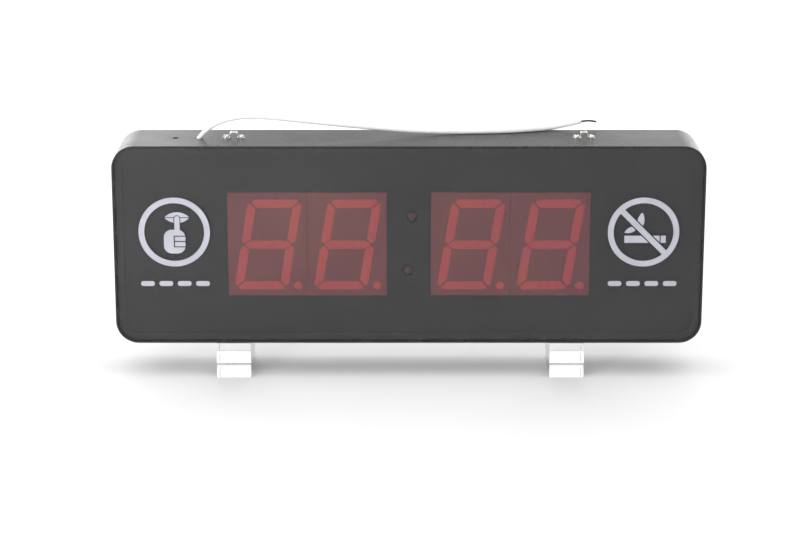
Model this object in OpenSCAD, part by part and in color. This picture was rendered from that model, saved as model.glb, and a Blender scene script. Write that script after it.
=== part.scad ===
// Wide LED clock and round timer: a rounded box casing with a smoked front panel, four large
// seven-segment digits, two printed pictograms, two hanging loops, a supply cable and clear feet.
// X runs to the right seen from the front, Y to the back and Z up. The origin is on the floor,
// under the middle of the casing.

/* [Casing] */
// Width of the casing
case_w = 480; // [470:1:520]
// Height of the casing
case_h = 166; // [160:1:200]
// Depth of the casing, front to back
case_d = 60; // [60:1:80]
// Outer radius of the casing's corners
corner_r = 18.5; // [16:0.5:22]
// Thickness of the casing's wall
wall = 1.8; // [1.5:0.1:2.2]

/* [Front] */
// Thickness of the smoked front panel
panel_t = 3; // [2:0.5:4]
// How far the panel sits behind the casing's front edge
panel_set = 0.4; // [0.3:0.1:1]
// Outer radius of a printed ring
ring_r = 29; // [20:0.5:32]
// Width of a printed ring's line
ring_w = 4.7; // [2:0.1:6]
// Distance of each printed ring from the middle of the casing
ring_x = 190.5; // [185:0.5:195]
// Height of the printed rings above the casing's bottom
ring_z = 94.4; // [85:0.1:105]
// Height of the caption marks above the casing's bottom
mark_z = 50.9; // [45:0.1:55]

/* [Digits] */
// Width of one digit module
module_w = 64.6; // [60:0.1:64.7]
// Distance between the two modules of a pair
module_pitch = 64.8; // [64.8:0.1:65]
// Height of one digit module
module_h = 87; // [80:0.5:100]
// Depth of one digit module
module_d = 15; // [12:0.5:16]
// Free width between the two pairs of modules
pair_gap = 36; // [30:0.5:36]
// Width of a digit's outline
digit_w = 44; // [36:0.5:46]
// Height of a digit's outline
digit_h = 76.2; // [70:0.1:78]
// Width of a segment
segment_w = 7.2; // [5:0.1:8]
// Gap between two segments
segment_gap = 0.9; // [0.5:0.1:1.5]
// Lean of the digits to the right, in degrees
slant = 9.3; // [0:0.1:12]
// Diameter of the decimal point
point_d = 6.8; // [4:0.1:8]
// Diameter of the colon lamps
colon_d = 10; // [6:0.5:12]

/* [Top] */
// Distance of each hanging loop from the middle of the casing
hanger_x = 143; // [120:1:160]
// Depth of a hanging loop's strip, front to back
hanger_d = 6; // [5:0.5:8]
// Inner width of a hanging loop
loop_w = 4.6; // [4.4:0.1:5.2]
// Inner height of a hanging loop
loop_h = 4.4; // [4.3:0.1:6]
// Position of the setting hole along the casing
button_x = -190.5; // [-192:0.5:-189]
// Position of the cable hole along the casing
cable_x = -171.5; // [-172:0.5:-171]
// Diameter of the setting hole
button_hole_d = 5; // [4.6:0.1:6]
// Diameter of the cable hole
cable_hole_d = 6; // [5.8:0.1:6.4]
// Press travel of the setting button
button_travel = 0.8; // [0.5:0.1:1]
// Diameter of the supply cable
cable_d = 3.8; // [3:0.1:4]

/* [Feet] */
// Width of a foot
foot_w = 28.5; // [25:0.5:40]
// Depth of a foot, from the casing's front edge
foot_d = 50; // [45:1:60]
// Height of a foot's lower block
foot_low_h = 12.5; // [10:0.5:20]
// Height of a foot's upper block
foot_up_h = 17.5; // [10:0.5:25]
// Position of the left foot along the casing
foot_left_x = -144; // [-170:1:-120]
// Position of the right foot along the casing
foot_right_x = 130; // [110:1:170]

/* [Hidden] */
$fn = 64;
eps = 0.01;

base_z = foot_low_h + foot_up_h;
top_z = base_z + case_h;
mid_z = base_z + case_h / 2;
front_y = -case_d / 2;
back_y = case_d / 2;
inner_w = case_w - 2 * wall;
inner_h = case_h - 2 * wall;
inner_r = corner_r - wall;
inner_top_z = top_z - wall;

// Front panel, its tape and the ledge that they rest on
fit_gap = 0.15;
panel_y = front_y + panel_set;
tape_t = 0.5;
tape_y = panel_y + panel_t;
ledge_y = tape_y + tape_t;
ledge_t = 1.5;
ledge_w = 6;
print_t = 0.2;
mark_pitch = 15;
mark_w = 11.2;
mark_h = 4.2;
lip_x = 2.4;
lip_z = 12.2;
finger_w = 4.2;
thin_line = 0.9;

// Black mask behind the panel, which shows only the digits and the colon
mask_y = ledge_y + ledge_t;
mask_t = 1;
mask_gap = 0.2;

// Digit modules and their segments
face_y = panel_y + panel_t + 1;
inner_module_x = pair_gap / 2 + module_w / 2;
outer_module_x = inner_module_x + module_pitch;
segment_t = 1.2;
digit_shift_x = 0.4;
digit_shift_z = -0.4;
corner_cut = 5;
tip_x = 2.8;
notch_h = 3.2;
middle_tip = 4.8;
point_x = 24.4;
point_z = -35;
colon_x = 1;
colon_lean_x = 1.6;
colon_z = 22.6;
colon_stem = 9.5;

// Boards
board_t = 1.6;
board_y = face_y + module_d;
board_w = 318;
board_h = 104;
board_hole_x = 154;
board_hole_z = 46;
board_hole_r = 1.6;
post_r = 3.5;
post_bore_d = 13;
screw_r = 1.2;
screw_len = 9;
screw_head_r = 2.6;
screw_head_h = 1.8;
thread_gap = 0.05;
control_x = 70;
control_w = 120;
control_h = 76;
control_post_h = 7;
control_post_r = 3;
control_post_x = 55;
control_post_z = 33;
main_chip_at = [-14, 12];
main_chip_size = [14, 2, 14];
driver_chip_z = -8;
driver_chip_pitch = 18;
driver_chip_size = [6.4, 2.2, 10.4];
capacitor_at = [8, 22];
capacitor_pitch = 11;
capacitor_r = 4;
capacitor_h = 11;
cell_at = [38, 14];
cell_r = 10;
cell_t = 3.2;
holder_t = 4;
buzzer_at = [42, -20];
buzzer_r = 6;
buzzer_h = 9;
buzzer_hole_depth = 3;
plug_at = [-42, 20];
plug_d = 7;
plug_size = [22, plug_d, 6];
ribbon_w = 20;
ribbon_t = 0.9;

// Back cover
cover_t = 2;
cover_y = back_y - cover_t;
control_y = cover_y - control_post_h - board_t;
boss_r = 4;
boss_d = 16;
boss_floor = 4;
boss_corner_in = 9.3;
boss_bore_r = 1.5;
cover_screw_r = 1.45;
cover_head_r = 3;
cover_head_h = 1.5;
cover_screw_len = 9;
cover_slot = [3, 1.6, 0.7];
vent_x = 135;
vent_pitch = 9;
vent_h = 34;
vent_w = 3;
// Screw positions: the corner bosses sit towards the corners, the others under the long walls
boss_corner_x = case_w / 2 - corner_r + boss_corner_in;
boss_corner_z = case_h / 2 - corner_r + boss_corner_in;
boss_mid_x = 75;
boss_mid_z = inner_h / 2 - boss_r + 0.5;
cover_screw_at = concat(
    [for (x = [-1, 1], z = [-1, 1]) [x * boss_corner_x, z * boss_corner_z]],
    [for (x = [-1, 1], z = [-1, 1]) [x * boss_mid_x, z * boss_mid_z]]
);

// Hanging loops
strip_t = 0.8;
loop_r = 0.6;
ear_x = 6.2;
hanger_screw_r = 1.25;
hanger_hole_r = 1.45;
pan_r = 2.6;
pan_side = 0.9;
pan_h = 2.2;
pan_slot = [3, 0.7, 2];
nut_h = 2.2;
nut_r = 2.9;

// Setting button and its switch
button_r = 1.7;
guide_r = 1.75;
button_top_z = top_z - 3;
switch_top_z = top_z - 5;
button_len = 4.4;
button_room = 0.4;
switch_w = 7;
switch_h = 5.5;
holder_w = 20;
holder_d = 16;
holder_wall = 2;
switch_bottom_z = switch_top_z - switch_h;

// Supply cable and what it ends in
power_x = -188;
power_w = 52;
power_d = 20;
power_h = 55;
power_z = base_z + 92.5;
terminal_w = 18;
terminal_d = 13;
terminal_h = 12;
terminal_top_z = power_z + power_h / 2;
clamp_w = 12;
clamp_h = 8;
core_d = 1.6;

// Middle line of the free cable, from inside the cable hole to its cut end, and of its bare core,
// in heights above the casing's top
cable_route = [
    [-172.2, 0, -1.4], [-169.8, 0, 1.8], [-166.8, 0.1, 5], [-162.8, 0.4, 8.3], [-158.4, 0.7, 11],
    [-153.6, 1, 13.2], [-148.4, 1.3, 14.9], [-143, 1.6, 16.1], [-137, 1.8, 16.9],
    [-130.5, 2, 17.2], [-123, 2.2, 17.1], [-115, 2.6, 16.6], [-104, 3.2, 15.5], [-91, 4, 13.9],
    [-75, 5, 12], [-58, 6.2, 10], [-41, 7.4, 8.1], [-24, 8.6, 6.3], [-8, 10, 4.7], [8, 11.6, 3.4],
    [23, 13, 2.5], [38, 14.2, 2.05], [54, 15.2, 1.95], [70, 16.4, 1.95], [84, 18.4, 1.95],
    [97, 21.6, 1.95], [109, 25.8, 1.95], [120, 29.8, 2.3], [131.5, 33.6, 3.6], [143, 36.8, 5.4]
];
core_route = [[143, 36.8, 5.4], [147.6, 37.9, 5.8], [152, 38.9, 5.6], [156.2, 39.6, 4.7]];

// ---- Shared shapes ----

// Rectangle with round corners, centred
module rounded_rect(w, h, r) {
    square([w - 2 * r, h], center = true);
    square([w, h - 2 * r], center = true);
    for (x = [-1, 1], y = [-1, 1])
        translate([x * (w / 2 - r), y * (h / 2 - r)]) circle(r);
}

// Bar with round ends, centred, along its own X
module capsule(length, w) {
    square([length - w, w], center = true);
    for (x = [-1, 1]) translate([x * (length - w) / 2, 0]) circle(w / 2);
}

// Pointed oval, centred, along its own X
module leaf(length, w) {
    r = (length * length / 4 + w * w / 4) / w;
    intersection() {
        translate([0, w / 2 - r]) circle(r);
        translate([0, r - w / 2]) circle(r);
    }
}

// Stands a flat outline up to face the front, from depth y on, d deep
module stand(y, d, x = 0, z = mid_z) {
    translate([x, y + d, z]) rotate([90, 0, 0]) linear_extrude(d) children();
}

// Box given by its middle in X and Z, its front face and its size
module box_at(x, y, z, size) {
    translate([x - size.x / 2, y, z - size.z / 2]) cube(size);
}

// Cylinder along Y, from depth y on
module rod_y(x, y, z, r, length) {
    translate([x, y, z]) rotate([-90, 0, 0]) cylinder(h = length, r = r);
}

// ---- Casing and front ----

module casing() {
    color([0.16, 0.16, 0.17]) difference() {
        union() {
            difference() {
                stand(front_y, case_d) rounded_rect(case_w, case_h, corner_r);
                stand(front_y - 1, case_d + 2) rounded_rect(inner_w, inner_h, inner_r);
            }
            difference() {
                stand(ledge_y, ledge_t)
                    rounded_rect(inner_w + wall, inner_h + wall, inner_r + wall / 2);
                stand(ledge_y - 1, ledge_t + 2)
                    rounded_rect(inner_w - 2 * ledge_w, inner_h - 2 * ledge_w, inner_r - ledge_w);
            }
            for (p = cover_screw_at) rod_y(p.x, cover_y - boss_d, mid_z + p.y, boss_r, boss_d);
        }
        for (p = cover_screw_at)
            rod_y(p.x, cover_y - boss_d + boss_floor, mid_z + p.y, boss_bore_r, boss_d);
        for (hole = [[button_x, button_hole_d], [cable_x, cable_hole_d]])
            translate([hole[0], 0, inner_top_z - 1]) cylinder(h = wall + 2, d = hole[1]);
        for (side = [-1, 1], ear = [-1, 1])
            translate([side * hanger_x + ear * ear_x, 0, inner_top_z - 1])
                cylinder(h = wall + 2, r = hanger_hole_r);
    }
}

module front_panel() {
    color([0.2, 0.2, 0.22]) stand(panel_y, panel_t)
        rounded_rect(inner_w - 2 * fit_gap, inner_h - 2 * fit_gap, inner_r - fit_gap);
}

module panel_tape() {
    color([0.1, 0.1, 0.1]) difference() {
        stand(tape_y, tape_t)
            rounded_rect(inner_w - 2 * fit_gap, inner_h - 2 * fit_gap, inner_r - fit_gap);
        stand(tape_y - 1, tape_t + 2)
            rounded_rect(inner_w - 2 * ledge_w, inner_h - 2 * ledge_w, inner_r - ledge_w);
    }
}

module mask_plate() {
    pair_w = module_pitch + module_w + 2 * mask_gap;
    color([0.07, 0.07, 0.07]) difference() {
        stand(mask_y, mask_t)
            rounded_rect(inner_w - 2 * fit_gap, inner_h - 2 * fit_gap, inner_r - fit_gap);
        for (side = [-1, 1]) {
            box_at(side * (inner_module_x + outer_module_x) / 2, mask_y - 1, mid_z,
                   [pair_w, mask_t + 2, module_h + 2 * mask_gap]);
            rod_y(colon_x + side * colon_lean_x, mask_y - 1, mid_z + side * colon_z,
                  colon_d / 2 + mask_gap, mask_t + 2);
        }
    }
}

// ---- Printed pictograms ----

module printed(x, z) {
    color([0.8, 0.8, 0.86]) stand(panel_y - print_t, print_t, x, base_z + z) children();
}

module print_ring() {
    difference() {
        circle(ring_r);
        circle(ring_r - ring_w);
    }
}

// Row of plain caption marks
module caption_marks(x) {
    printed(x, mark_z) for (i = [-1.5:1:1.5]) translate([i * mark_pitch, 0])
        capsule(mark_w, mark_h);
}

// Closed lips with a raised finger before them, over a closed hand
module hush_sign() {
    margin = 2 * (thin_line - 0.2);
    difference() {
        translate([lip_x, lip_z]) leaf(20.5, 9);
        translate([lip_x, lip_z]) square([22, thin_line - 0.2], center = true);
        translate([lip_x, lip_z - 0.8]) circle((finger_w + margin) / 2);
        translate([lip_x, 5.5]) square([finger_w + margin, 12], center = true);
    }
    translate([lip_x, lip_z - 0.8]) circle(finger_w / 2);
    translate([lip_x, 5]) square([finger_w, 13], center = true);
    difference() {
        translate([0.2, -8]) rounded_rect(17.5, 20, 6.5);
        for (i = [0:2]) translate([5, -3.4 - i * 4.5]) capsule(11, thin_line);
        translate([-0.05, -7.9]) rotate([0, 0, 90]) capsule(9 + thin_line, thin_line);
    }
}

// Cigarette with two leaves of smoke, crossed out
module no_smoking_sign() {
    difference() {
        union() {
            translate([1.4, -6]) square([33.6, 6], center = true);
            translate([-2.4, 9]) rotate([0, 0, 82]) leaf(15, 5.6);
            translate([-10, 2]) rotate([0, 0, 24]) leaf(12, 4.6);
        }
        rotate([0, 0, -45]) square([2 * ring_r, ring_w + 2], center = true);
        translate([13.6, -6]) square([thin_line, 8], center = true);
    }
    rotate([0, 0, -45]) square([2 * ring_r - ring_w, ring_w], center = true);
}

module print_left() {
    printed(-ring_x, ring_z) {
        print_ring();
        hush_sign();
    }
    caption_marks(-ring_x);
}

module print_right() {
    printed(ring_x, ring_z) {
        print_ring();
        no_smoking_sign();
    }
    caption_marks(ring_x);
}

// ---- Digits ----

function flip_x(pts) = [for (p = pts) [digit_w - p.x, p.y]];
function flip_z(pts) = [for (p = pts) [p.x, digit_h - p.y]];
function leaning(pts) =
    [for (p = pts) [p.x - digit_w / 2 + (p.y - digit_h / 2) * tan(slant), p.y - digit_h / 2]];

// Outlines of the top, upper left and middle segments of an upright digit
half_cut = corner_cut / 2;
half_gap = segment_gap / 2;
top_segment = [
    [half_cut + half_gap, digit_h - half_cut + half_gap], [corner_cut, digit_h],
    [digit_w - corner_cut, digit_h],
    [digit_w - half_cut - half_gap, digit_h - half_cut + half_gap],
    [digit_w - segment_w - segment_gap, digit_h - segment_w],
    [segment_w + segment_gap, digit_h - segment_w]
];
side_segment = [
    [half_cut - half_gap, digit_h - half_cut - half_gap], [0, digit_h - corner_cut],
    [0, digit_h / 2 + notch_h], [tip_x, digit_h / 2 + segment_gap],
    [segment_w, digit_h / 2 + segment_w / 2 + segment_gap],
    [segment_w, digit_h - segment_w - segment_gap]
];
middle_segment = [
    for (x = [-1, 1], p = [[0, -1], [1, 0], [0, 1]])
        [digit_w / 2 + x * (digit_w / 2 - tip_x - (1 - p.x) * middle_tip),
         digit_h / 2 + x * p.y * segment_w / 2]
];
segment_outlines = [
    top_segment, flip_z(top_segment), side_segment, flip_x(side_segment), flip_z(side_segment),
    flip_x(flip_z(side_segment)), middle_segment
];

module_at = [-outer_module_x, -inner_module_x, inner_module_x, outer_module_x];

// All eight windows of a digit, as blocks from the module's face inwards
module segment_blocks(x, y, d) {
    at_x = x + digit_shift_x;
    at_z = mid_z + digit_shift_z;
    for (outline = segment_outlines) stand(y, d, at_x, at_z) polygon(leaning(outline));
    rod_y(x + point_x, y, mid_z + point_z, point_d / 2, d);
}

module digit(x) {
    color([0.32, 0.12, 0.13]) difference() {
        box_at(x, face_y, mid_z, [module_w, module_d, module_h]);
        segment_blocks(x, face_y - 1, segment_t + 1);
    }
}

module segments(x) {
    color([0.75, 0.16, 0.18]) segment_blocks(x, face_y, segment_t);
}

module colon_lamps() {
    color([0.6, 0.1, 0.12]) for (side = [-1, 1])
        translate([colon_x + side * colon_lean_x, board_y, mid_z + side * colon_z])
            rotate([90, 0, 0]) {
                cylinder(h = colon_stem, d = colon_d);
                translate([0, 0, colon_stem]) intersection() {
                    sphere(d = colon_d);
                    translate([0, 0, colon_d / 2]) cube(colon_d, center = true);
                }
            }
}

// ---- Display board ----

module display_board() {
    color([0.1, 0.35, 0.18]) difference() {
        box_at(0, board_y, mid_z, [board_w, board_t, board_h]);
        for (x = [-1, 1], z = [-1, 1])
            rod_y(x * board_hole_x, board_y - 1, mid_z + z * board_hole_z, board_hole_r,
                  board_t + 2);
    }
}

module board_posts() {
    post_y = board_y + board_t;
    color([0.85, 0.85, 0.82]) for (x = [-1, 1], z = [-1, 1]) difference() {
        rod_y(x * board_hole_x, post_y, mid_z + z * board_hole_z, post_r, cover_y - post_y);
        rod_y(x * board_hole_x, post_y - 1, mid_z + z * board_hole_z, screw_r + thread_gap,
              post_bore_d);
    }
}

module board_screws() {
    color([0.75, 0.76, 0.78]) for (x = [-1, 1], z = [-1, 1]) {
        rod_y(x * board_hole_x, board_y - screw_head_h, mid_z + z * board_hole_z, screw_head_r,
              screw_head_h);
        rod_y(x * board_hole_x, board_y - eps, mid_z + z * board_hole_z, screw_r, screw_len);
    }
}

// ---- Control board ----

module control_board() {
    color([0.1, 0.35, 0.18]) box_at(control_x, control_y, mid_z, [control_w, board_t, control_h]);
}

module control_posts() {
    color([0.85, 0.85, 0.82]) for (x = [-1, 1], z = [-1, 1])
        rod_y(control_x + x * control_post_x, control_y + board_t, mid_z + z * control_post_z,
              control_post_r, control_post_h);
}

// Part lying on the control board, given by its place on the board and its size
module on_control_board(at, size) {
    box_at(control_x + at.x, control_y - size.y, mid_z + at.y, size);
}

module main_chip() {
    color([0.12, 0.12, 0.12]) on_control_board(main_chip_at, main_chip_size);
}

module driver_chips() {
    color([0.12, 0.12, 0.12]) for (i = [-2:1])
        on_control_board([i * driver_chip_pitch, driver_chip_z], driver_chip_size);
}

module capacitors() {
    color([0.2, 0.22, 0.3]) for (i = [0:1])
        rod_y(control_x + capacitor_at.x + i * capacitor_pitch, control_y - capacitor_h,
              mid_z + capacitor_at.y, capacitor_r, capacitor_h);
}

module cell_holder() {
    side = 2 * cell_r + 5;
    color([0.15, 0.15, 0.16]) difference() {
        on_control_board(cell_at, [side, holder_t, side]);
        rod_y(control_x + cell_at.x, control_y - holder_t - 1, mid_z + cell_at.y, cell_r + 0.2,
              cell_t + 1);
    }
}

module clock_cell() {
    color([0.8, 0.8, 0.82])
        rod_y(control_x + cell_at.x, control_y - holder_t, mid_z + cell_at.y, cell_r, cell_t);
}

module buzzer() {
    x = control_x + buzzer_at.x;
    z = mid_z + buzzer_at.y;
    color([0.1, 0.1, 0.1]) difference() {
        rod_y(x, control_y - buzzer_h, z, buzzer_r, buzzer_h);
        rod_y(x, control_y - buzzer_h - 1, z, 1, buzzer_hole_depth + 1);
    }
}

module ribbon_plugs() {
    color([0.92, 0.92, 0.9]) {
        on_control_board(plug_at, plug_size);
        box_at(control_x + plug_at.x, board_y + board_t, mid_z + plug_at.y, plug_size);
    }
}

module ribbon() {
    start_y = board_y + board_t + plug_d;
    color([0.6, 0.6, 0.62])
        box_at(control_x + plug_at.x, start_y, mid_z + plug_at.y,
               [ribbon_w, control_y - plug_d - start_y, ribbon_t]);
}

// ---- Supply ----

module power_module() {
    color([0.14, 0.14, 0.15])
        box_at(power_x, cover_y - power_d, power_z, [power_w, power_d, power_h]);
}

module terminal_block() {
    color([0.15, 0.4, 0.2])
        box_at(cable_x, cover_y - power_d - terminal_d, terminal_top_z - terminal_h / 2,
               [terminal_w, terminal_d, terminal_h]);
}

module inner_lead() {
    color([0.9, 0.9, 0.88]) translate([cable_x, 0, terminal_top_z])
        cylinder(h = inner_top_z - terminal_top_z, d = cable_d);
}

module cable_clamp() {
    color([0.15, 0.15, 0.16]) difference() {
        translate([cable_x - clamp_w / 2, -clamp_w / 2, inner_top_z - clamp_h])
            cube([clamp_w, clamp_w, clamp_h]);
        translate([cable_x, 0, inner_top_z - clamp_h - 1])
            cylinder(h = clamp_h + 2, d = cable_d + 2 * thread_gap);
    }
}

// ---- Back cover ----

module back_cover() {
    color([0.2, 0.2, 0.21]) difference() {
        stand(cover_y, cover_t)
            rounded_rect(inner_w - 2 * fit_gap, inner_h - 2 * fit_gap, inner_r - fit_gap);
        for (p = cover_screw_at) {
            rod_y(p.x, cover_y - 1, mid_z + p.y, boss_bore_r, cover_t + 2);
            translate([p.x, back_y - cover_head_h, mid_z + p.y]) rotate([-90, 0, 0])
                cylinder(h = cover_head_h + eps, r1 = boss_bore_r, r2 = cover_head_r);
        }
        for (side = [-1, 1], i = [-2.5:1:2.5])
            stand(cover_y - 1, cover_t + 2, side * vent_x + i * vent_pitch, mid_z)
                rotate([0, 0, 90]) capsule(vent_h, vent_w);
    }
}

module cover_screws() {
    head_y = back_y - cover_head_h;
    start_y = cover_y - cover_screw_len;
    color([0.7, 0.71, 0.73]) for (p = cover_screw_at) difference() {
        union() {
            rod_y(p.x, start_y, mid_z + p.y, cover_screw_r, head_y - start_y + eps);
            translate([p.x, head_y, mid_z + p.y]) rotate([-90, 0, 0])
                cylinder(h = cover_head_h - 0.1, r1 = cover_screw_r, r2 = cover_head_r - 0.15);
        }
        for (a = [0, 90]) translate([p.x, back_y, mid_z + p.y]) rotate([0, a, 0])
            cube(cover_slot, center = true);
    }
}

// ---- Hanging loops ----

// Outline of the bent strip, seen from the front, standing on Z 0
module hanger_outline() {
    out_w = loop_w + 2 * strip_t;
    difference() {
        union() {
            translate([-ear_x - hanger_d / 2, 0]) square([2 * ear_x + hanger_d, strip_t]);
            translate([0, (loop_h + strip_t) / 2 - 1])
                rounded_rect(out_w, loop_h + strip_t + 2, loop_r + strip_t);
        }
        translate([0, (loop_h - 2) / 2]) rounded_rect(loop_w, loop_h + 2, loop_r);
        translate([-ear_x - hanger_d, -4]) square([2 * ear_x + 2 * hanger_d, 4]);
    }
}

module hanger(x) {
    color([0.85, 0.85, 0.86]) translate([x, 0, top_z]) difference() {
        intersection() {
            translate([0, hanger_d / 2, 0]) rotate([90, 0, 0]) linear_extrude(hanger_d)
                hanger_outline();
            linear_extrude(loop_h + 2) capsule(2 * ear_x + hanger_d, hanger_d);
        }
        for (ear = [-1, 1])
            translate([ear * ear_x, 0, -1]) cylinder(h = strip_t + 2, r = hanger_hole_r);
    }
}

// Pan head screw: a short straight side under a domed top with a cross slot
module hanger_screw(x) {
    dome_h = pan_h - pan_side;
    cap_r = (pan_r * pan_r + dome_h * dome_h) / (2 * dome_h);
    shank_h = strip_t + wall + nut_h;
    translate([x, 0, top_z + strip_t]) difference() {
        union() {
            intersection() {
                cylinder(h = pan_h, r = pan_r);
                translate([0, 0, pan_h - cap_r]) sphere(cap_r);
            }
            translate([0, 0, -shank_h]) cylinder(h = shank_h + eps, r = hanger_screw_r);
        }
        for (a = [0, 90])
            rotate([0, 0, a]) translate([0, 0, pan_h]) cube(pan_slot, center = true);
    }
}

module hanger_screws() {
    color([0.82, 0.82, 0.84]) for (side = [-1, 1], ear = [-1, 1])
        hanger_screw(side * hanger_x + ear * ear_x);
}

module hanger_nuts() {
    color([0.75, 0.75, 0.72]) for (side = [-1, 1], ear = [-1, 1])
        translate([side * hanger_x + ear * ear_x, 0, inner_top_z - nut_h]) difference() {
            cylinder(h = nut_h, r = nut_r, $fn = 6);
            translate([0, 0, -1]) cylinder(h = nut_h + 2, r = hanger_screw_r + thread_gap);
        }
}

// ---- Setting button ----

module set_button() {
    color([0.05, 0.05, 0.05]) translate([button_x, 0, button_top_z - button_len])
        cylinder(h = button_len, r = button_r);
}

module switch_body() {
    color([0.7, 0.7, 0.72]) difference() {
        translate([button_x - switch_w / 2, -switch_w / 2, switch_bottom_z])
            cube([switch_w, switch_w, switch_h]);
        translate([button_x, 0, button_top_z - button_len - button_travel - button_room])
            cylinder(h = switch_h, r = guide_r);
    }
}

module switch_holder() {
    color([0.15, 0.15, 0.16]) translate([button_x, 0, (switch_bottom_z + inner_top_z) / 2])
        difference() {
            h = inner_top_z - switch_bottom_z;
            cube([holder_w, holder_d, h], center = true);
            cube([holder_w - 2 * holder_wall, holder_d - 2 * holder_wall, h + 2], center = true);
        }
}

module switch_board() {
    color([0.1, 0.35, 0.18])
        translate([button_x - holder_w / 2, -holder_d / 2, switch_bottom_z - board_t])
            cube([holder_w, holder_d, board_t]);
}

// ---- Free cable ----

function unit(v) = v / norm(v);
// Point on the smooth curve between b and c, with neighbours a and d
function curve_at(a, b, c, d, t) =
    0.5 * (2 * b + (c - a) * t + (2 * a - 5 * b + 4 * c - d) * t * t
           + (3 * b - a - 3 * c + d) * t * t * t);
// The route's points with steps - 1 more between each two of them
function smooth(route, steps) = let (n = len(route) - 1) concat(
    [for (i = [0:n - 1], s = [0:steps - 1])
        curve_at(route[max(i - 1, 0)], route[i], route[i + 1], route[min(i + 2, n)], s / steps)],
    [route[n]]
);

// Round tube along a line of points, closed at both ends
module tube_along(points, r, sides) {
    n = len(points);
    rings = [for (i = [0:n - 1]) let (
        ahead = unit(points[min(i + 1, n - 1)] - points[max(i - 1, 0)]),
        side = unit(cross(ahead, [0, 1, 0])),
        up = cross(side, ahead)
    ) [for (k = [0:sides - 1]) let (a = (k + 0.5) * 360 / sides)
        points[i] + r * (cos(a) * side + sin(a) * up)]];
    walls = [for (i = [0:n - 2], k = [0:sides - 1]) let (
        a = i * sides + k,
        b = i * sides + (k + 1) % sides
    ) [a, a + sides, b + sides, b]];
    ends = [[for (k = [0:sides - 1]) k], [for (k = [sides - 1:-1:0]) (n - 1) * sides + k]];
    polyhedron([for (ring = rings) each ring], concat(walls, ends));
}

function above_top(route) = [for (p = route) [p.x, p.y, p.z + top_z]];

module cable() {
    color([0.93, 0.93, 0.9]) tube_along(above_top(smooth(cable_route, 2)), cable_d / 2, 8);
}

module cable_core() {
    color([0.06, 0.06, 0.06]) tube_along(above_top(smooth(core_route, 3)), core_d / 2, 8);
}

// ---- Feet ----

module foot_block(x, z, h) {
    color([0.85, 0.9, 0.92, 0.5]) translate([x - foot_w / 2, front_y, z]) cube([foot_w, foot_d, h]);
}

casing();
front_panel();
panel_tape();
mask_plate();
print_left();
print_right();
digit(module_at[0]);  // digit_1
digit(module_at[1]);  // digit_2
digit(module_at[2]);  // digit_3
digit(module_at[3]);  // digit_4
segments(module_at[0]);  // segments_1
segments(module_at[1]);  // segments_2
segments(module_at[2]);  // segments_3
segments(module_at[3]);  // segments_4
colon_lamps();
display_board();
board_posts();
board_screws();
control_board();
control_posts();
main_chip();
driver_chips();
capacitors();
cell_holder();
clock_cell();
buzzer();
ribbon();
ribbon_plugs();
power_module();
terminal_block();
inner_lead();
cable_clamp();
back_cover();
cover_screws();
hanger(-hanger_x);  // hanger_left
hanger(hanger_x);  // hanger_right
hanger_screws();
hanger_nuts();
set_button();
switch_body();
switch_holder();
switch_board();
cable();
cable_core();
foot_block(foot_left_x, 0, foot_low_h);  // foot_left_lower
foot_block(foot_left_x, foot_low_h, foot_up_h);  // foot_left_upper
foot_block(foot_right_x, 0, foot_low_h);  // foot_right_lower
foot_block(foot_right_x, foot_low_h, foot_up_h);  // foot_right_upper
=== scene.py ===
"""Wide LED clock on two clear stands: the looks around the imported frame.

Metres, in the frame's own axes: X right, Y back, Z up, origin on the floor under the casing.
"""

import math

import bmesh
import bpy
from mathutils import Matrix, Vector


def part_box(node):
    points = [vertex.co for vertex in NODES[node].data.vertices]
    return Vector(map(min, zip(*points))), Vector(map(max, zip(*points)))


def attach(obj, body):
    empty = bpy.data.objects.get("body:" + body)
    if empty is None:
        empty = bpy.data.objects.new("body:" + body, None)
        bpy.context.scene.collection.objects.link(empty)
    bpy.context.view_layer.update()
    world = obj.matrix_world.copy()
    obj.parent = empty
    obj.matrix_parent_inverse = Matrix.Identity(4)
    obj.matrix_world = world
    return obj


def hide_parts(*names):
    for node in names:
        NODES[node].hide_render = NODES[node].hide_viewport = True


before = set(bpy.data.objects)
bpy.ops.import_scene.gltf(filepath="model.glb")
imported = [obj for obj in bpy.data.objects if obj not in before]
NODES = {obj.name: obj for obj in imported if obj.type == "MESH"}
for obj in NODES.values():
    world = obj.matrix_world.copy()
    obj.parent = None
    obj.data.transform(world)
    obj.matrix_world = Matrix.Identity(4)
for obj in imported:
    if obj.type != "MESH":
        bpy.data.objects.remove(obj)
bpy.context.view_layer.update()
SCENE = bpy.context.scene
MM = 0.001

SCENE.view_settings.view_transform = "Standard"

# ---------------------------------------------------------------- camera

SENSOR_W = 36.0
IMAGE_W = 800
FOCAL_PX = 2233
SHIFT_PX = 80
CAMERA_PLACE = (-7.2 * MM, -1777 * MM, 608 * MM)
CAMERA_PITCH = 14.3
NEAR_CLIP = 0.05
FAR_CLIP = 60


def make_camera():
    data = bpy.data.cameras.new("camera")
    data.sensor_width = SENSOR_W
    data.lens = FOCAL_PX * SENSOR_W / IMAGE_W
    data.shift_y = -SHIFT_PX / IMAGE_W
    data.clip_start = NEAR_CLIP
    data.clip_end = FAR_CLIP
    data.dof.use_dof = False
    camera = bpy.data.objects.new("camera", data)
    SCENE.collection.objects.link(camera)
    camera.location = CAMERA_PLACE
    camera.rotation_euler = (math.radians(90 - CAMERA_PITCH), 0, 0)
    SCENE.camera = camera


make_camera()

# ---------------------------------------------------------------- the cord

TOP_Z = 196 * MM
CABLE_D = 3.8 * MM
CORE_D = 1.6 * MM
STEPS = 8
TUBE_SIDES = 24
RIM_SHARE = 0.16

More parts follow.
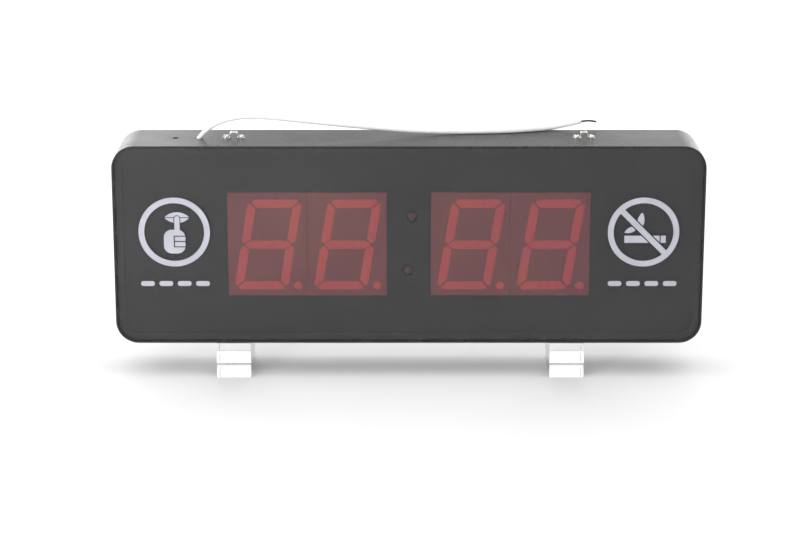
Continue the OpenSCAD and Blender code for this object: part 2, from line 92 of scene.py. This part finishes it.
# X, Y and height above the casing's top, in millimetres, as the frame has them
CABLE_ROUTE = [
    (-172.2, 0, -1.4), (-169.8, 0, 1.8), (-166.8, 0.1, 5), (-162.8, 0.4, 8.3), (-158.4, 0.7, 11),
    (-153.6, 1, 13.2), (-148.4, 1.3, 14.9), (-143, 1.6, 16.1), (-137, 1.8, 16.9),
    (-130.5, 2, 17.2), (-123, 2.2, 17.1), (-115, 2.6, 16.6), (-104, 3.2, 15.5), (-91, 4, 13.9),
    (-75, 5, 12), (-58, 6.2, 10), (-41, 7.4, 8.1), (-24, 8.6, 6.3), (-8, 10, 4.7), (8, 11.6, 3.4),
    (23, 13, 2.5), (38, 14.2, 2.05), (54, 15.2, 1.95), (70, 16.4, 1.95), (84, 18.4, 1.95),
    (97, 21.6, 1.95), (109, 25.8, 1.95), (120, 29.8, 2.3), (131.5, 33.6, 3.6), (143, 36.8, 5.4),
]
CORE_ROUTE = [(143, 36.8, 5.4), (147.6, 37.9, 5.8), (152, 38.9, 5.6), (156.2, 39.6, 4.7)]


def place(point):
    """A route point in the frame, in metres."""
    x, y, height = point
    return Vector((x * MM, y * MM, TOP_Z + height * MM))


def smooth_line(points, steps=STEPS):
    """Points along the smooth curve that runs through the route's points."""
    line = []
    last = len(points) - 1
    for i in range(last):
        before = points[max(i - 1, 0)]
        start = points[i]
        end = points[i + 1]
        after = points[min(i + 2, last)]
        for k in range(steps):
            t = k / steps
            line.append(
                (
                    start * 2
                    + (end - before) * t
                    + (before * 2 - start * 5 + end * 4 - after) * t**2
                    + (start * 3 - before - end * 3 + after) * t**3
                )
                / 2
            )
    line.append(points[-1].copy())
    return line


def tube(name, points, diameter):
    """A round tube along the points, with its two rims rounded and its ends closed."""
    mesh = bpy.data.meshes.new(name)
    build = bmesh.new()
    radius = diameter / 2
    lip = radius * RIM_SHARE
    last = len(points) - 1
    ahead = (points[1] - points[0]).normalized()
    side = ahead.cross(Vector((0, 1, 0))).normalized()
    rings = []

    def ring(centre, across, up, size):
        turns = [2 * math.pi * k / TUBE_SIDES for k in range(TUBE_SIDES)]
        spots = [centre + (across * math.cos(a) + up * math.sin(a)) * size for a in turns]
        rings.append([build.verts.new(spot) for spot in spots])

    for i, point in enumerate(points):
        ahead = (points[min(i + 1, last)] - points[max(i - 1, 0)]).normalized()
        side = (side - ahead * side.dot(ahead)).normalized()
        up = ahead.cross(side)
        if i == 0:
            ring(point, side, up, radius - lip)
            ring(point + ahead * lip, side, up, radius)
        elif i == last:
            ring(point - ahead * lip, side, up, radius)
            ring(point, side, up, radius - lip)
        else:
            ring(point, side, up, radius)
    for near, far in zip(rings, rings[1:]):
        for k in range(TUBE_SIDES):
            after = (k + 1) % TUBE_SIDES
            build.faces.new([near[k], near[after], far[after], far[k]]).smooth = True
    build.faces.new(list(reversed(rings[0])))
    build.faces.new(rings[-1])
    bmesh.ops.recalc_face_normals(build, faces=build.faces[:])
    build.to_mesh(mesh)
    build.free()
    piece = bpy.data.objects.new(name, mesh)
    SCENE.collection.objects.link(piece)
    return piece


def make_cord():
    jacket_line = smooth_line([place(p) for p in CABLE_ROUTE])
    core_line = smooth_line([place(p) for p in CORE_ROUTE])
    jacket = tube("cable_jacket", jacket_line, CABLE_D)
    core = tube("cable_bare_end", core_line, CORE_D)
    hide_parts("cable")
    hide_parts("cable_core")
    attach(jacket, "clock")
    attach(core, "clock")
    return jacket, core


jacket, core = make_cord()

# ---------------------------------------------------------------- materials


def new_material(name):
    material = bpy.data.materials.new(name)
    material.use_nodes = True
    tree = material.node_tree
    return material, tree, tree.nodes["Principled BSDF"]


def object_space(tree, stretch=(1, 1, 1)):
    """Coordinates in the frame's own metres, stretched along its axes."""
    coords = tree.nodes.new("ShaderNodeTexCoord")
    mapping = tree.nodes.new("ShaderNodeMapping")
    mapping.inputs["Scale"].default_value = stretch
    tree.links.new(coords.outputs["Object"], mapping.inputs["Vector"])
    return mapping.outputs["Vector"]


def noise(tree, vector, per_metre, detail=3.0, rough=0.55):
    node = tree.nodes.new("ShaderNodeTexNoise")
    node.inputs["Scale"].default_value = per_metre
    node.inputs["Detail"].default_value = detail
    node.inputs["Roughness"].default_value = rough
    tree.links.new(vector, node.inputs["Vector"])
    return node.outputs["Fac"]


def ramp(tree, value, stops):
    """A colour ramp; stops are (position, (r, g, b))."""
    node = tree.nodes.new("ShaderNodeValToRGB")
    elements = node.color_ramp.elements
    while len(elements) < len(stops):
        elements.new(0.5)
    for element, (position, colour) in zip(elements, stops):
        element.position = position
        element.color = (*colour, 1)
    tree.links.new(value, node.inputs["Fac"])
    return node.outputs["Color"]


def spread(tree, value, low, high, start=0.3, end=0.7):
    node = tree.nodes.new("ShaderNodeMapRange")
    node.inputs["From Min"].default_value = start
    node.inputs["From Max"].default_value = end
    node.inputs["To Min"].default_value = low
    node.inputs["To Max"].default_value = high
    tree.links.new(value, node.inputs["Value"])
    return node.outputs["Result"]


def bump(tree, shader, height, depth, strength=1.0):
    node = tree.nodes.new("ShaderNodeBump")
    node.inputs["Strength"].default_value = strength
    node.inputs["Distance"].default_value = depth
    tree.links.new(height, node.inputs["Height"])
    tree.links.new(node.outputs["Normal"], shader.inputs["Normal"])


def finish_of(
    name,
    dark,
    light,
    patch=40.0,
    rough=(0.4, 0.5),
    grain=900.0,
    grain_depth=0.02 * MM,
    stretch=(1, 1, 1),
    **fixed,
):
    """A surface whose colour drifts from dark to light, and its gloss between two values.

    Its grain stands up by grain_depth. fixed holds plain values for the shader's own sockets.
    """
    material, tree, shader = new_material(name)
    space = object_space(tree, stretch)
    drift = noise(tree, space, patch)
    colour = ramp(tree, drift, [(0.3, dark), (0.7, light)])
    tree.links.new(colour, shader.inputs["Base Color"])
    gloss = noise(tree, space, patch * 3.1, detail=4)
    tree.links.new(spread(tree, gloss, *rough), shader.inputs["Roughness"])
    bump(tree, shader, noise(tree, space, grain, detail=2), grain_depth)
    for socket, value in fixed.items():
        shader.inputs[socket.replace("_", " ")].default_value = value
    return material


POWDER = finish_of(
    "black_powder_coat",
    (0.015, 0.015, 0.016),
    (0.020, 0.020, 0.021),
    patch=14,
    rough=(0.24, 0.29),
    grain=700,
    grain_depth=0.004 * MM,
    Specular_IOR_Level=0.3,
)
MASK = finish_of("mask_black", (0.008, 0.008, 0.009), (0.014, 0.014, 0.015), rough=(0.75, 0.9))
TAPE = finish_of("foam_tape", (0.012, 0.012, 0.012), (0.03, 0.03, 0.03), patch=900, rough=(0.8, 0.95))
INK = finish_of(
    "screen_ink", (0.375, 0.378, 0.43), (0.44, 0.443, 0.50), patch=60, rough=(0.5, 0.62), grain=2600,
    grain_depth=0.008 * MM,
)
BLACK_PLASTIC = finish_of("black_plastic", (0.015, 0.015, 0.016), (0.03, 0.03, 0.03), rough=(0.4, 0.55))
WHITE_PLASTIC = finish_of("white_plastic", (0.66, 0.66, 0.63), (0.76, 0.75, 0.72), rough=(0.4, 0.5))
GREEN_PLASTIC = finish_of("green_plastic", (0.02, 0.24, 0.09), (0.03, 0.31, 0.12), rough=(0.35, 0.5))
EPOXY = finish_of("chip_epoxy", (0.016, 0.016, 0.017), (0.028, 0.028, 0.028), patch=700, rough=(0.55, 0.7))
NICKEL = finish_of(
    "nickel", (0.66, 0.65, 0.62), (0.82, 0.81, 0.79), patch=160, rough=(0.14, 0.28), grain=2400,
    grain_depth=0.01 * MM, Metallic=1.0,
)
ZINC = finish_of(
    "zinc", (0.44, 0.45, 0.46), (0.60, 0.61, 0.63), patch=260, rough=(0.30, 0.46), grain=1800,
    grain_depth=0.015 * MM, Metallic=1.0,
)
STEEL_CAN = finish_of(
    "steel_can", (0.55, 0.55, 0.55), (0.68, 0.68, 0.68), patch=120, rough=(0.2, 0.34),
    stretch=(1, 1, 12), Metallic=1.0,
)
JACKET = finish_of(
    "cable_pvc", (0.86, 0.85, 0.82), (0.92, 0.91, 0.89), patch=70, rough=(0.42, 0.56), grain=1500,
    grain_depth=0.02 * MM,
)
RECESS = finish_of("recess_shadow", (0.02, 0.02, 0.02), (0.05, 0.05, 0.05), patch=900, rough=(0.5, 0.7))
# near-black for the set button, made darker than its plastic so that its hole reads as shade, and painted
# shade on the walls of the casing's top holes
PLUNGER_AND_HOLE_SHADE = finish_of("plunger_black_and_hole_shade", (0.004, 0.004, 0.004), (0.008, 0.008, 0.008), rough=(0.7, 0.85))
CORE = finish_of("core_rubber", (0.010, 0.010, 0.011), (0.022, 0.022, 0.022), rough=(0.45, 0.6))


def smoked_panel():
    """A smoked sheet under a hazy film: pale haze over dark glass, with a plain alpha."""
    material, tree, shader = new_material("smoked_panel")
    space = object_space(tree)
    haze = noise(tree, space, 9, detail=2)
    colour = ramp(tree, haze, [(0.3, (0.072, 0.072, 0.076)), (0.7, (0.090, 0.090, 0.092))])
    tree.links.new(colour, shader.inputs["Base Color"])
    gloss = noise(tree, space, 30, detail=3)
    tree.links.new(spread(tree, gloss, 0.34, 0.46), shader.inputs["Roughness"])
    bump(tree, shader, noise(tree, space, 60, detail=2), 0.01 * MM)
    shader.inputs["Specular IOR Level"].default_value = 0.4
    shader.inputs["Alpha"].default_value = 0.22
    return material


def tinted(name, low, middle, high, **fixed):
    """Tinted resin with a slow drift between three colours."""
    material, tree, shader = new_material(name)
    space = object_space(tree)
    drift = noise(tree, space, 22, detail=2)
    colour = ramp(tree, drift, [(0.30, low), (0.5, middle), (0.7, high)])
    tree.links.new(colour, shader.inputs["Base Color"])
    gloss = noise(tree, space, 90)
    tree.links.new(spread(tree, gloss, 0.45, 0.6), shader.inputs["Roughness"])
    bump(tree, shader, noise(tree, space, 1200, detail=2), 0.015 * MM)
    for socket, value in fixed.items():
        shader.inputs[socket.replace("_", " ")].default_value = value
    return material


def board_material():
    """Green solder mask over copper: square-cornered tracks show as a paler, raised pattern."""
    material, tree, shader = new_material("circuit_board")
    space = object_space(tree)
    tracks = tree.nodes.new("ShaderNodeTexVoronoi")
    tracks.distance = "CHEBYCHEV"
    tracks.feature = "DISTANCE_TO_EDGE"
    tracks.inputs["Scale"].default_value = 150
    tree.links.new(space, tracks.inputs["Vector"])
    lines = spread(tree, tracks.outputs["Distance"], 1.0, 0.0, 0.03, 0.09)
    colour = ramp(tree, lines, [(0.0, (0.010, 0.075, 0.030)), (1.0, (0.022, 0.150, 0.060))])
    tree.links.new(colour, shader.inputs["Base Color"])
    tree.links.new(spread(tree, noise(tree, space, 80), 0.28, 0.42), shader.inputs["Roughness"])
    bump(tree, shader, lines, 0.03 * MM)
    return material


def ribbon_material():
    """Grey flat cable with a ridge for each wire."""
    material, tree, shader = new_material("ribbon_cable")
    space = object_space(tree)
    wires = tree.nodes.new("ShaderNodeTexWave")
    wires.wave_type = "BANDS"
    wires.bands_direction = "X"
    wires.wave_profile = "SIN"
    wires.inputs["Scale"].default_value = 250
    wires.inputs["Distortion"].default_value = 0.0
    tree.links.new(space, wires.inputs["Vector"])
    # painted shade: the grooves between the wire ridges are coloured darker than the ridges
    colour = ramp(tree, wires.outputs["Fac"], [(0.0, (0.28, 0.28, 0.29)), (0.6, (0.46, 0.46, 0.47))])
    tree.links.new(colour, shader.inputs["Base Color"])
    tree.links.new(spread(tree, noise(tree, space, 200), 0.45, 0.6), shader.inputs["Roughness"])
    bump(tree, shader, wires.outputs["Fac"], 0.25 * MM)
    return material


def clear_acrylic():
    """Clear cast acrylic with faint polish marks."""
    material, tree, shader = new_material("clear_acrylic")
    space = object_space(tree)
    marks = noise(tree, space, 60, detail=3)
    tint = ramp(tree, marks, [(0.3, (0.97, 0.98, 0.98)), (0.7, (1.0, 1.0, 1.0))])
    tree.links.new(tint, shader.inputs["Base Color"])
    tree.links.new(spread(tree, marks, 0.02, 0.06), shader.inputs["Roughness"])
    bump(tree, shader, noise(tree, space, 140, detail=2), 0.02 * MM)
    shader.inputs["Transmission Weight"].default_value = 1.0
    shader.inputs["IOR"].default_value = 1.49
    return material


LAMP_R = 5 * MM


def lamp_resin():
    """Deep red domes with a painted glow: brightest at their middles and fading to the mask's black at
    their rims.
    """
    material, tree, shader = new_material("lamp_resin")
    space = object_space(tree)
    low_corner, high_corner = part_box("colon_lamps")
    nearest = None
    for x, z in (
        (high_corner[0] - LAMP_R, high_corner[2] - LAMP_R),
        (low_corner[0] + LAMP_R, low_corner[2] + LAMP_R),
    ):
        away = tree.nodes.new("ShaderNodeVectorMath")
        away.operation = "DISTANCE"
        away.inputs[1].default_value = (x, low_corner[1], z)
        tree.links.new(space, away.inputs[0])
        if nearest is None:
            nearest = away.outputs["Value"]
        else:
            least = tree.nodes.new("ShaderNodeMath")
            least.operation = "MINIMUM"
            tree.links.new(nearest, least.inputs[0])
            tree.links.new(away.outputs["Value"], least.inputs[1])
            nearest = least.outputs["Value"]
    # painted glow: the red is brightest at each dome's middle and fades to near-black at its rim
    depth = spread(tree, nearest, 0.0, 1.0, 0.0, LAMP_R)
    colour = ramp(tree, depth, [(0.1, (0.085, 0.013, 0.017)), (1.0, (0.016, 0.009, 0.010))])
    tree.links.new(colour, shader.inputs["Base Color"])
    tree.links.new(spread(tree, noise(tree, space, 200), 0.5, 0.65), shader.inputs["Roughness"])
    return material


SMOKED = smoked_panel()
LENS = tinted("digit_resin", (0.195, 0.036, 0.052), (0.210, 0.040, 0.044), (0.222, 0.052, 0.044))
SEGMENT = tinted("segment_resin", (0.52, 0.056, 0.078), (0.55, 0.062, 0.066), (0.57, 0.078, 0.060))
LAMP = lamp_resin()
BOARD = board_material()
RIBBON = ribbon_material()
ACRYLIC = clear_acrylic()

# ---------------------------------------------------------------- pieces

SHARP = math.radians(50)
ROUNDED = math.radians(28)
FLAT = math.radians(0.4)
WELD = 0.002 * MM


def rounded_copy(node, radius, segments=2):
    """The CAD node's shape with its sharp edges rounded, as a new mesh."""
    mesh = NODES[node].data.copy()
    mesh.materials.clear()
    build = bmesh.new()
    build.from_mesh(mesh)
    bmesh.ops.remove_doubles(build, verts=build.verts, dist=WELD)
    bmesh.ops.dissolve_limit(
        build, angle_limit=FLAT, verts=build.verts[:], edges=build.edges[:]
    )
    edges = [
        e for e in build.edges if len(e.link_faces) == 2 and e.calc_face_angle(0) > ROUNDED
    ]
    if radius:
        bmesh.ops.bevel(
            build,
            geom=edges,
            offset=radius,
            offset_type="OFFSET",
            segments=segments,
            profile=0.5,
            affect="EDGES",
            clamp_overlap=True,
        )
    for face in build.faces:
        face.smooth = True
    for edge in build.edges:
        bent = len(edge.link_faces) != 2 or edge.calc_face_angle(0) > SHARP
        edge.smooth = not bent
    build.to_mesh(mesh)
    build.free()
    return mesh


# faces that touch clear or smoked sheet stand a hair off it, so that the air between shows
AIR_GAP = 0.06 * MM
AIR_NODES = (
    "panel_tape", "foot_left_lower", "foot_left_upper", "foot_right_lower", "foot_right_upper",
)


def draw_in(mesh, node, gap):
    """Moves a piece's outermost faces in by gap on every side."""
    lowest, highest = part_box(node)
    middle = (Vector(lowest) + Vector(highest)) / 2
    half = (Vector(highest) - Vector(lowest)) / 2
    for vertex in mesh.vertices:
        offset = vertex.co - middle
        vertex.co = middle + Vector([o * (h - gap) / h for o, h in zip(offset, half)])


def skin(node, material, radius=0.3 * MM, body="clock"):
    """A finely rounded piece that stands for one CAD node."""
    mesh = rounded_copy(node, radius)
    if node in AIR_NODES:
        draw_in(mesh, node, AIR_GAP)
    mesh.name = node + "_skin"
    mesh.materials.append(material)
    piece = bpy.data.objects.new(node + "_skin", mesh)
    SCENE.collection.objects.link(piece)
    normals = piece.modifiers.new("even_normals", "WEIGHTED_NORMAL")
    normals.keep_sharp = True
    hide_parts(node)
    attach(piece, body)
    return piece


# node: material, the record's slot, edge radius in millimetres
LOOKS = {
    "casing": (POWDER, "casing", 0.2),
    "back_cover": (POWDER, "casing", 0.25),
    "front_panel": (SMOKED, "panel", 0.3),
    "panel_tape": (TAPE, "black_plastic", 0.05),
    "mask_plate": (MASK, "mask", 0.05),
    "print_left": (INK, "print", 0),
    "print_right": (INK, "print", 0),
    "display_board": (BOARD, "circuit_board", 0.1),
    "control_board": (BOARD, "circuit_board", 0.1),
    "switch_board": (BOARD, "circuit_board", 0.1),
    "board_posts": (ZINC, "zinc", 0.2),
    "control_posts": (ZINC, "zinc", 0.2),
    "board_screws": (ZINC, "zinc", 0.3),
    "cover_screws": (ZINC, "zinc", 0.15),
    "hanger_left": (NICKEL, "steel", 0.15),
    "hanger_right": (NICKEL, "steel", 0.15),
    "hanger_screws": (NICKEL, "steel", 0.05),
    "hanger_nuts": (ZINC, "zinc", 0.15),
    "main_chip": (EPOXY, "chip", 0.15),
    "driver_chips": (EPOXY, "chip", 0.15),
    "capacitors": (STEEL_CAN, "capacitor", 0.4),
    "cell_holder": (BLACK_PLASTIC, "black_plastic", 0.2),
    "clock_cell": (STEEL_CAN, "steel", 0.25),
    "buzzer": (BLACK_PLASTIC, "black_plastic", 0.3),
    "ribbon": (RIBBON, "cable_jacket", 0.1),
    "ribbon_plugs": (BLACK_PLASTIC, "black_plastic", 0.2),
    "power_module": (BLACK_PLASTIC, "black_plastic", 0.5),
    "terminal_block": (GREEN_PLASTIC, "green_plastic", 0.3),
    "inner_lead": (JACKET, "cable_jacket", 0),
    "cable_clamp": (WHITE_PLASTIC, "white_plastic", 0.25),
    "switch_body": (BLACK_PLASTIC, "black_plastic", 0.15),
    "switch_holder": (BLACK_PLASTIC, "black_plastic", 0.2),
    "colon_lamps": (LAMP, "segment", 0.1),
    "foot_left_lower": (ACRYLIC, "clear_acrylic", 0.35),
    "foot_left_upper": (ACRYLIC, "clear_acrylic", 0.35),
    "foot_right_lower": (ACRYLIC, "clear_acrylic", 0.35),
    "foot_right_upper": (ACRYLIC, "clear_acrylic", 0.35),
}
for number in "1234":
    LOOKS["digit_" + number] = (LENS, "digit_case", 0.08)
    LOOKS["segments_" + number] = (SEGMENT, "segment", 0.12)

PIECES = {}
for node, (material, slot_name, edge_mm) in LOOKS.items():
    PIECES[node] = skin(node, material, edge_mm * MM)


# a face counts as a wall below this size of its normal's part along the axis
WALL_NORMAL = 0.3
SLOT_SLACK = 0.05 * MM
SLOT_FLOOR = 0.1 * MM
HEAD_REACH = 1.6 * MM
HOLE_REACH = 3.2 * MM
HOLE_DEPTH = 2.5 * MM


def darken_recess(node, axis, depth, centres):
    """The walls and floors of the driver slots get a dark painted shade; the heads face along axis."""
    mesh = PIECES[node].data
    mesh.materials.append(RECESS)
    head_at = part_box(node)[1][axis]
    for face in mesh.polygons:
        below = head_at - face.center[axis]
        if below > depth + SLOT_SLACK:
            continue
        upright = abs(face.normal[axis])
        for centre in centres:
            away = Vector(face.center) - Vector(centre)
            away[axis] = 0
            in_slot = upright < WALL_NORMAL or below > depth - SLOT_FLOOR
            if away.length < HEAD_REACH and in_slot:
                face.material_index = 1


def solid_middles(node):
    """The middle of each separate solid of a CAD node, from the boxes of its loose parts."""
    build = bmesh.new()
    build.from_mesh(NODES[node].data)
    bmesh.ops.remove_doubles(build, verts=build.verts, dist=WELD)
    middles = []
    waiting = set(build.verts)
    while waiting:
        front = [waiting.pop()]
        group = []
        while front:
            vertex = front.pop()
            group.append(vertex.co.copy())
            for edge in vertex.link_edges:
                other = edge.other_vert(vertex)
                if other in waiting:
                    waiting.remove(other)
                    front.append(other)
        lowest = [min(spot[i] for spot in group) for i in range(3)]
        highest = [max(spot[i] for spot in group) for i in range(3)]
        middles.append((Vector(lowest) + Vector(highest)) / 2)
    build.free()
    return middles


def darken_hole_walls(nodes):
    """The walls of the holes in the casing's top that these nodes stand in get black painted shade."""
    mesh = PIECES["casing"].data
    mesh.materials.append(PLUNGER_AND_HOLE_SHADE)
    for node in nodes:
        lowest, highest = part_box(node)
        x = (lowest[0] + highest[0]) / 2
        y = (lowest[1] + highest[1]) / 2
        for face in mesh.polygons:
            away = math.hypot(face.center.x - x, face.center.y - y)
            upright = abs(face.normal.z)
            in_top = face.center.z > TOP_Z - HOLE_DEPTH
            if away < HOLE_REACH and upright < WALL_NORMAL and in_top:
                face.material_index = 1


darken_hole_walls(("set_button", "inner_lead"))
darken_recess("hanger_screws", 2, 1.0 * MM, solid_middles("hanger_screws"))
darken_recess("cover_screws", 1, 0.7 * MM, solid_middles("cover_screws"))
# the set button, darkened so that its hole reads as shade
skin("set_button", PLUNGER_AND_HOLE_SHADE, 0.25 * MM, body="button")

jacket.data.materials.append(JACKET)
core.data.materials.append(CORE)

# ---------------------------------------------------------------- studio

FLOOR_HALF = 9.0
WORLD_HORIZON = 1.75
WORLD_OVERHEAD = 0.15
WORLD_SEEN = 0.92
# the sine of the elevation where the horizon's light begins to fade, and where it has faded
FADE_START = 0.05
FADE_END = 0.38


def make_floor():
    mesh = bpy.data.meshes.new("floor")
    build = bmesh.new()
    corners = [(-1, -1), (1, -1), (1, 1), (-1, 1)]
    build.faces.new([build.verts.new((x * FLOOR_HALF, y * FLOOR_HALF, 0)) for x, y in corners])
    build.to_mesh(mesh)
    build.free()
    floor = bpy.data.objects.new("floor", mesh)
    SCENE.collection.objects.link(floor)
    material, tree, shader = new_material("floor_white")
    space = object_space(tree)
    paper = ramp(tree, noise(tree, space, 1.2), [(0.3, (0.89, 0.89, 0.89)), (0.7, (0.91, 0.91, 0.91))])
    tree.links.new(paper, shader.inputs["Base Color"])
    shader.inputs["Roughness"].default_value = 0.7
    shader.inputs["Specular IOR Level"].default_value = 0.2
    mesh.materials.append(material)


def area_light(name, place_at, aim_at, size, power, lights="diffuse glossy transmission"):
    """A soft panel of light; lights names the kinds of surface that it reaches."""
    data = bpy.data.lights.new(name, "AREA")
    data.shape = "RECTANGLE"
    data.size, data.size_y = size
    data.energy = power
    light = bpy.data.objects.new(name, data)
    SCENE.collection.objects.link(light)
    light.location = place_at
    toward = Vector(aim_at) - Vector(place_at)
    light.rotation_euler = toward.to_track_quat("-Z", "Y").to_euler()
    light.visible_camera = False
    light.visible_diffuse = "diffuse" in lights
    light.visible_glossy = "glossy" in lights
    light.visible_transmission = "transmission" in lights


def soft_sun(name, elevation, azimuth, width, strength):
    """Even light from a wide patch of ceiling; azimuth 0 comes from the front."""
    data = bpy.data.lights.new(name, "SUN")
    data.energy = strength
    data.angle = math.radians(width)
    light = bpy.data.objects.new(name, data)
    SCENE.collection.objects.link(light)
    light.rotation_euler = (math.radians(90 - elevation), 0, math.radians(azimuth))


def make_world():
    """A white studio, brightest along the horizon; the camera sees it as an even white."""
    world = bpy.data.worlds.new("studio")
    world.use_nodes = True
    tree = world.node_tree
    background = tree.nodes["Background"]
    coords = tree.nodes.new("ShaderNodeTexCoord")
    split = tree.nodes.new("ShaderNodeSeparateXYZ")
    tree.links.new(coords.outputs["Generated"], split.inputs["Vector"])
    height = split.outputs["Z"]
    level = spread(tree, height, WORLD_HORIZON, WORLD_OVERHEAD, FADE_START, FADE_END)
    path = tree.nodes.new("ShaderNodeLightPath")
    seen = tree.nodes.new("ShaderNodeMix")
    tree.links.new(path.outputs["Is Camera Ray"], seen.inputs["Factor"])
    tree.links.new(level, seen.inputs["A"])
    seen.inputs["B"].default_value = WORLD_SEEN
    tree.links.new(seen.outputs["Result"], background.inputs["Strength"])
    background.inputs["Color"].default_value = (1.0, 1.0, 1.0, 1)
    SCENE.world = world


make_floor()
make_world()
soft_sun("ceiling", elevation=88, azimuth=0, width=105, strength=2.45)
# name, place, aim, size, watts, and the kinds of surface that it reaches if not all
area_light("softbox_left", (-0.7, -1.1, 0.35), (-0.1, 0, 0.1), (0.4, 0.4), 7)
area_light("fill_left", (-1.6, 0.1, 0.3), (0, 0, 0), (0.8, 0.4), 7)
area_light("fill_right", (1.6, 0.1, 0.3), (0, 0, 0), (0.8, 0.4), 5)
area_light("fill_back", (0, 2.6, 0.5), (0, 0, 0), (3, 0.6), 60, "diffuse")
area_light("softbox_back", (0.05, 1.3, 1.5), (0, 0, 0.2), (0.35, 0.3), 5, "glossy")
area_light("sheet_left", (-0.95, 2.5, 0.9), (-0.95, 0, 0.9), (1.1, 1.6), 5.5, "glossy")
area_light("sheet_right", (0.95, 2.5, 0.9), (0.95, 0, 0.9), (1.1, 1.6), 2.2, "glossy")
area_light("sheet_feet", (0, 2.2, 0.5), (0, 0, 0.5), (3, 1), 6, "transmission")
